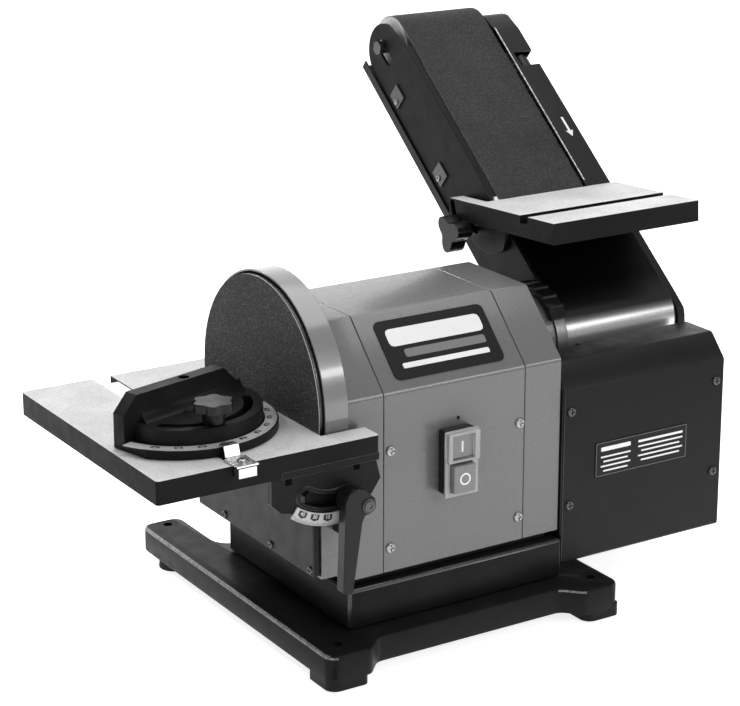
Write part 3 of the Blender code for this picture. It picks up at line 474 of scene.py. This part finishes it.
def surfaces():
    shown = {}
    for node in NODES:
        if node in PLAIN:
            mesh = NODES[node].data
            mesh.materials.clear()
            mesh.materials.append(MATERIALS[SLOT_OF[node]])
            continue
        if node == "table_lock_lever":
            shown[node] = lock_lever()
            continue
        shown[node] = refined(node, EDGE_WIDTH.get(node, 0.0005))
    two_tone(shown["disc_table"], TABLE_SIDE,
             lambda normal, centre: normal.z > 0.95 and centre.z > TABLE_TOP - TOP_MARGIN)
    slope_up = BELT_TABLE.to_3x3() @ Vector((0, 0, 1))
    plane = max((BELT_TABLE.inverted() @ v.co).z for v in NODES["belt_table"].data.vertices)
    to_table = BELT_TABLE.inverted()
    two_tone(shown["belt_table"], TABLE_SIDE,
             lambda normal, centre: (normal.dot(slope_up) > 0.95
                                     and (to_table @ centre).z > plane - TOP_MARGIN))
    two_tone(shown["abrasive_disc"], PAPER_EDGE, lambda normal, centre: abs(normal.x) > 0.7)
    two_tone(shown["sanding_belt"], PAPER_EDGE, lambda normal, centre: abs(normal.x) < 0.7)
    shown["sanding_belt"].data.materials[0] = BELT_GRIT
    for node in ("base_casting", "pedestal", "belt_box", "arm_left_plate", "arm_right_channel",
                 "table_trunnion_front", "lower_disc_guard"):
        shown[node].data.materials.append(EDGE_SHEEN)
        shown[node].modifiers["edge"].material = 1
    # Faces that look up and to the left take the lighter grey: a painted highlight along the rail's top edge.
    shown["base_casting"].data.materials[1] = RAIL_PAINTED_HIGHLIGHT
    shown["base_casting"].modifiers["edge"].material = -1
    for face in shown["base_casting"].data.polygons:
        face.material_index = 1 if face.normal.x < -0.3 and face.normal.z > 0.3 else 0
    shown["arm_left_plate"].data.materials[0] = ARM_BLACK
    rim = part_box("disc_end_housing")[0].x + 0.030
    two_tone(shown["disc_end_housing"], RIM_GREY,
             lambda normal, centre: centre.x > rim or centre.z < SHAFT.z - 0.030 or abs(normal.x) > 0.9)
    shown["disc_plate"].data.materials[0] = DARK_STEEL
    shown["arm_collar"].data.materials[0] = COLLAR_GREY
    NODES["idler_axle"].data.materials[0] = DARK_STEEL
    return shown


# ---------------------------------------------------------------- fittings

def screw(name, radius, height, mat, body, place, recess="cross"):
    """Screw head that faces its own +Z, with a cross or socket recess."""
    if recess == "socket":
        profile = [(0.0, 0.0), (radius, 0.0), (radius, height * 0.88), (radius * 0.93, height),
                   (0.0, height)]
        outline = ring_points(0.0, 0.0, radius * 0.55, count=6)
    else:
        profile = [(0.0, 0.0), (radius, 0.0), (radius, height * 0.35), (radius * 0.88, height * 0.76),
                   (radius * 0.55, height * 0.97), (0.0, height)]
        arm, half = radius * 0.66, radius * 0.15
        outline = [(arm, -half), (arm, half), (half, half), (half, arm), (-half, arm), (-half, half),
                   (-arm, half), (-arm, -half), (-half, -half), (-half, -arm), (half, -arm), (half, -half)]
    head = subtract(lathe(profile, 28), extrude(outline, height * 0.3, height * 2))
    return finish_mesh(name, head, mat, body, place)


def flat(name, outline, low, high, mat, body, place, holes=()):
    return finish_mesh(name, extrude(outline, low, high, holes), mat, body, place)


def bar_marks(name, rows, height, mat, body, place):
    """Blank bars of ink: each row gives the bar's middle and size on the plate."""
    parts = [extrude(rounded_box(w, h, min(w, h) * 0.25, 3), 0.0, height) for u, v, w, h in rows]
    for part, (u, v, w, h) in zip(parts, rows):
        bmesh.ops.translate(part, verts=part.verts, vec=(u, v, 0.0))
    return finish_mesh(name, merged(*parts), mat, body, place)


def cover_fittings():
    body = BODY_OF["centre_cover"]
    front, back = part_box("centre_cover")[0].y - ORIGIN.y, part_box("centre_cover")[1].y - ORIGIN.y
    for i, (x, z) in enumerate(((0.0667, 0.1878), (0.2022, 0.1878), (0.0667, 0.0988), (0.2022, 0.0988))):
        screw(f"cover_screw_front_{i}", 0.0046, 0.0024, BRIGHT_SCREW, body, at(x, front, z) @ FACE_FRONT)
        screw(f"cover_screw_back_{i}", 0.0046, 0.0024, BRIGHT_SCREW, body, at(x, back, z) @ FACE_BACK)
    # A flat dark disc stands for the shade inside a small hole in the cover: painted shade.
    flat("cover_small_hole", ring_points(0, 0, 0.0016, count=16), 0.0, 0.0001, HOLE_PAINTED_SHADE, body,
         at(0.1366, front, 0.2050) @ FACE_FRONT)
    body = BODY_OF["belt_box"]
    low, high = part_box("belt_box")
    front, back = low.y - ORIGIN.y, high.y - ORIGIN.y
    for i, (x, z) in enumerate(((0.2565, 0.1890), (0.4245, 0.1890), (0.2565, 0.0996), (0.4245, 0.0996))):
        screw(f"box_screw_front_{i}", 0.0044, 0.0022, DARK_STEEL, body, at(x, front, z) @ FACE_FRONT)
    for i, (x, z) in enumerate(((0.2565, 0.1500), (0.4245, 0.1500), (0.2565, 0.0700), (0.4245, 0.0700))):
        screw(f"box_screw_back_{i}", 0.0044, 0.0022, DARK_STEEL, body, at(x, back, z) @ FACE_BACK)
    body = BODY_OF["lower_disc_guard"]
    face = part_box("lower_disc_guard")[0].x - ORIGIN.x
    for i, y in enumerate((-0.099, -0.031, 0.053)):
        screw(f"guard_screw_{i}", 0.0036, 0.0018, DARK_STEEL, body, at(face, y, 0.0945) @ FACE_X_LEFT)


def plate_marks():
    """Blank generic graphics on the two label plates."""
    body = BODY_OF["name_plate"]
    face = max(NODES["name_plate"].data.polygons, key=lambda f: f.area)
    normal = face.normal if face.normal.z > 0 else -face.normal
    slope = math.atan2(-normal.y, normal.z)
    place = Matrix.Translation(middle("name_plate") + normal * 0.0004) @ Matrix.Rotation(slope, 4, "X")
    bar_marks("name_plate_bar_wide", ((0.0, 0.0115, 0.098, 0.0170),), INK, MARK_WHITE, body, place)
    bar_marks("name_plate_bar_middle", ((0.004, -0.0050, 0.084, 0.0080),), INK, MARK_GREY, body, place)
    bar_marks("name_plate_bar_low", ((0.0, -0.0165, 0.090, 0.0050),), INK, MARK_WHITE, body, place)
    body = BODY_OF["rating_plate"]
    low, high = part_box("rating_plate")
    place = Matrix.Translation(((low.x + high.x) / 2, low.y, (low.z + high.z) / 2)) @ FACE_FRONT
    wide, tall = high.x - low.x, high.z - low.z
    outer = rounded_box(wide - 0.0012, tall - 0.0012, 0.0012, 3)
    inner = rounded_box(wide - 0.0020, tall - 0.0020, 0.0010, 3)
    flat("rating_plate_line", outer, 0.0, INK, MARK_GREY, body, place, [inner])
    rows = [(-0.030, 0.0095, 0.034, 0.0040), (0.022, 0.0095, 0.052, 0.0022)]
    rows += [(0.022, 0.0045 - 0.0045 * i, 0.052 - 0.007 * (i % 2), 0.0015) for i in range(4)]
    rows += [(-0.030, 0.0020 - 0.0045 * i, 0.034 - 0.006 * (i % 2), 0.0015) for i in range(4)]
    bar_marks("rating_plate_bars", rows, INK, MARK_WHITE, body, place)


def button_marks():
    """The generic on and off marks of the two keys."""
    for node, mark in (("start_button", "I"), ("stop_button", "O")):
        low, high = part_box(node)
        place = Matrix.Translation(((low.x + high.x) / 2, low.y, (low.z + high.z) / 2)) @ FACE_FRONT
        if mark == "I":
            flat("start_mark", rounded_box(0.0016, 0.0100, 0.0003, 3), 0.0, 0.00015, MARK_WHITE,
                 BODY_OF[node], place)
        else:
            flat("stop_mark", ring_points(0, 0, 0.0055, count=36), 0.0, 0.00015, MARK_WHITE, BODY_OF[node],
                 place, [ring_points(0, 0, 0.0041, count=36)])


def tilt_fittings():
    lever = BODY_OF["table_lock_lever"]
    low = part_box("table_lock_lever")[0].y - ORIGIN.y
    boss = low + 0.0012
    flat("lever_washer", ring_points(0, 0, 0.0062, count=28), 0.0, 0.0003, DARK_SCREW, lever,
         at(0.0157, boss, 0.1639) @ FACE_FRONT)
    screw("lever_screw", 0.0046, 0.0009, DARK_STEEL, lever, at(0.0157, boss - 0.0003, 0.1639) @ FACE_FRONT,
          "socket")
    table = BODY_OF["table_trunnion_front"]
    # Flat dark squares stand for the shade inside the trunnion's holes: painted shade.
    for i, (x, z) in enumerate(((-0.0493, 0.1916), (0.0163, 0.1923))):
        for name, y, turn in (("front", -0.1280, FACE_FRONT), ("back", 0.1280, FACE_BACK)):
            flat(f"trunnion_hole_{i}_{name}", rounded_box(0.0060, 0.0060, 0.0006, 3), 0.0, 0.0001,
                 HOLE_PAINTED_SHADE, table, at(x, y, z) @ turn)


def tick(angle, outer, inner, half):
    """One radial tick of a round scale, at an angle in degrees."""
    ray = Vector((math.cos(math.radians(angle)), math.sin(math.radians(angle))))
    side = Vector((-ray.y, ray.x)) * half
    corners = (ray * outer - side, ray * outer + side, ray * inner + side, ray * inner - side)
    return extrude([tuple(corner) for corner in corners], 0.0, 0.0001)


def scale_marks():
    """Ticks and numbers of the tilt scale and of the mitre scale."""
    centre = Vector((TILT.x - ORIGIN.x, TILT.z))
    body = BODY_OF["tilt_scale"]
    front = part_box("tilt_scale")[0].y - ORIGIN.y
    place = at(centre.x, front, centre.y) @ FACE_FRONT
    ticks = [tick(236 + i, 0.0706, 0.0686 if i % 5 else 0.0672, 0.00013) for i in range(46)]
    finish_mesh("tilt_ticks", merged(*ticks), MARK_DARK, body, place)
    for i, (angle, text) in enumerate(((241.0, "45"), (252.5, "30"), (264.0, "15"))):
        turn = Matrix.Rotation(math.radians(angle + 90), 4, "Z")
        box_place = place @ Matrix.Translation((0.0637 * math.cos(math.radians(angle)),
                                                0.0637 * math.sin(math.radians(angle)), 0.0)) @ turn
        flat(f"tilt_box_{text}", [(-0.0042, 0.0026), (-0.0042, -0.0018), (0.0, -0.0036), (0.0042, -0.0018),
                                  (0.0042, 0.0026)], 0.0, 0.0001, MARK_DARK, body, box_place)
        lettering(f"tilt_number_{text}", text, 0.0046, MARK_WHITE, body,
                  box_place @ Matrix.Translation((0, 0.0002, 0.0001)), depth=0.00005)
    body = BODY_OF["mitre_scale"]
    top = (HEAD.inverted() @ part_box("mitre_scale")[1]).z
    place = HEAD @ Matrix.Translation((0, 0, top))
    ticks = [tick(i - 90, 0.0790, 0.0770 if i % 10 else 0.0758, 0.00016) for i in range(-60, 61, 2)]
    finish_mesh("mitre_ticks", merged(*ticks), MARK_DARK, body, place)
    for i in range(-60, 61, 15):
        angle = math.radians(-90 + i)
        spot = Matrix.Translation((0.0732 * math.cos(angle), 0.0732 * math.sin(angle), 0.0))
        turned = place @ spot @ Matrix.Rotation(angle + math.pi / 2, 4, "Z")
        pointed = [(-0.0036, -0.0022), (0.0036, -0.0022), (0.0036, 0.0012), (0.0, 0.0026),
                   (-0.0036, 0.0012)]
        flat(f"mitre_box_{i + 60}", pointed, 0.0, 0.0001, MARK_DARK, body, turned)
        lettering(f"mitre_number_{i + 60}", str(abs(i)), 0.0036, MARK_WHITE, body,
                  turned @ Matrix.Translation((0, -0.0005, 0.0001)), depth=0.00005)


def mitre_fittings():
    bar = BODY_OF["mitre_pointer"]
    low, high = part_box("mitre_pointer")
    screw("pointer_screw", 0.0040, 0.0024, BRIGHT_SCREW, bar,
          Matrix.Translation(((low.x + high.x) / 2, low.y + 0.0105, TABLE_TOP + 0.0019)))
    screw("deck_screw", 0.0028, 0.0018, DARK_SCREW, BODY_OF["mitre_head"],
          HEAD @ Matrix.Translation((-0.0105, -0.0180, 0.0210)), "socket")


def arm_fittings():
    body = BODY_OF["arm_left_plate"]
    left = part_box("arm_left_plate")[0].x - ORIGIN.x
    turn = Matrix.Rotation(-math.pi / 2, 4, "Y")
    for i, (t0, t1, t) in enumerate(((0.300, 0.318, 0.306), (0.198, 0.217, 0.206))):
        bm = block((left - 0.0016, t0, -0.0240), (left - 0.0001, t1, -0.0060))
        finish_mesh(f"belt_clip_{i}", bm, DARK_SCREW, body, ARM, bevel=0.0005)
        screw(f"clip_screw_{i}", 0.0030, 0.0018, BRIGHT_SCREW, body,
              on_arm(left - 0.0016, t, -0.0195) @ turn)
    arrow = [(-0.0125, 0.0013), (-0.0125, -0.0013), (0.005, -0.0013), (0.005, -0.0044), (0.0125, 0.0),
             (0.005, 0.0044), (0.005, 0.0013)]
    flat("belt_arrow", arrow, 0.0, INK, MARK_WHITE, BODY_OF["arm_right_channel"],
         on_arm(0.4293, 0.2090, 0.0335) @ Matrix.Rotation(-math.pi / 2, 4, "Z"))
    strip = block((0.4121, 0.1420, 0.0336), (0.4135, 0.3440, 0.0340))
    finish_mesh("channel_edge", strip, MATERIALS["steel"], BODY_OF["arm_right_channel"], ARM)


def fittings():
    cover_fittings()
    plate_marks()
    button_marks()
    tilt_fittings()
    scale_marks()
    mitre_fittings()
    arm_fittings()


# ---------------------------------------------------------------- floor, light and camera

def stage():
    """A white sweep: level floor that curves up behind the machine."""
    bm = bmesh.new()
    profile = [(-3.0, 0.0), (-2.99, 0.0), (2.2, 0.0)]
    for step in range(1, 17):
        angle = math.radians(90 * step / 16)
        profile.append((2.2 + 1.2 * math.sin(angle), 1.2 - 1.2 * math.cos(angle)))
    profile.append((3.4, 4.5))
    rows = [[bm.verts.new((x, y, z)) for x in (-5.0, 5.0)] for y, z in profile]
    for a, b in zip(rows, rows[1:]):
        bm.faces.new((a[0], a[1], b[1], b[0]))
    bmesh.ops.recalc_face_normals(bm, faces=bm.faces)
    mesh = bpy.data.meshes.new("sweep")
    bm.to_mesh(mesh)
    bm.free()
    mesh.shade_smooth()
    mat, _, _, shader = new_material("white sweep", 0.80, 0.75)
    shader.inputs["Emission Color"].default_value = (1, 1, 1, 1)
    shader.inputs["Emission Strength"].default_value = 0.80
    mesh.materials.append(mat)
    sweep = bpy.data.objects.new("sweep", mesh)
    sweep.rotation_euler = (0, 0, math.radians(-32))
    sweep.location = (0, 0, -0.0002)
    bpy.context.scene.collection.objects.link(sweep)


def area_light(name, place, target, width, height, power):
    light = bpy.data.lights.new(name, "AREA")
    light.shape = "RECTANGLE"
    light.size = width
    light.size_y = height
    light.energy = power
    obj = bpy.data.objects.new(name, light)
    obj.location = place
    obj.rotation_euler = (Vector(target) - Vector(place)).to_track_quat("-Z", "Y").to_euler()
    bpy.context.scene.collection.objects.link(obj)


def lights():
    world = bpy.data.worlds.new("white room")
    world.use_nodes = True
    world.node_tree.nodes["Background"].inputs["Color"].default_value = (1, 1, 1, 1)
    world.node_tree.nodes["Background"].inputs["Strength"].default_value = 0.30
    bpy.context.scene.world = world
    area_light("top softbox", (0.5, 0.1, 2.4), (0, 0, 0.2), 2.2, 1.6, 34)
    area_light("left softbox", (-2.4, -0.6, 1.1), (0, 0, 0.2), 1.0, 1.8, 5)
    area_light("front softbox", (0.6, -2.6, 1.5), (0, 0, 0.2), 1.6, 1.4, 12)
    area_light("bend strip", (1.30, -2.05, 1.12), (0, 0, 0.2), 0.9, 0.30, 9)
    area_light("edge softbox", (-0.75, 2.0, 1.45), (0, 0, 0.2), 0.45, 0.20, 20)
    bpy.context.scene.view_settings.view_transform = "Standard"


def camera():
    data = bpy.data.cameras.new("camera")
    data.lens = 111.37
    data.sensor_width = 36
    data.shift_y = -0.1
    data.clip_start = 0.05
    cam = bpy.data.objects.new("camera", data)
    cam.location = (-1.0630, -1.7368, 0.8642)
    cam.rotation_euler = (math.radians(74.14), 0, math.radians(-32.03))
    bpy.context.scene.collection.objects.link(cam)
    bpy.context.scene.camera = cam


surfaces()
fittings()
stage()
lights()
camera()
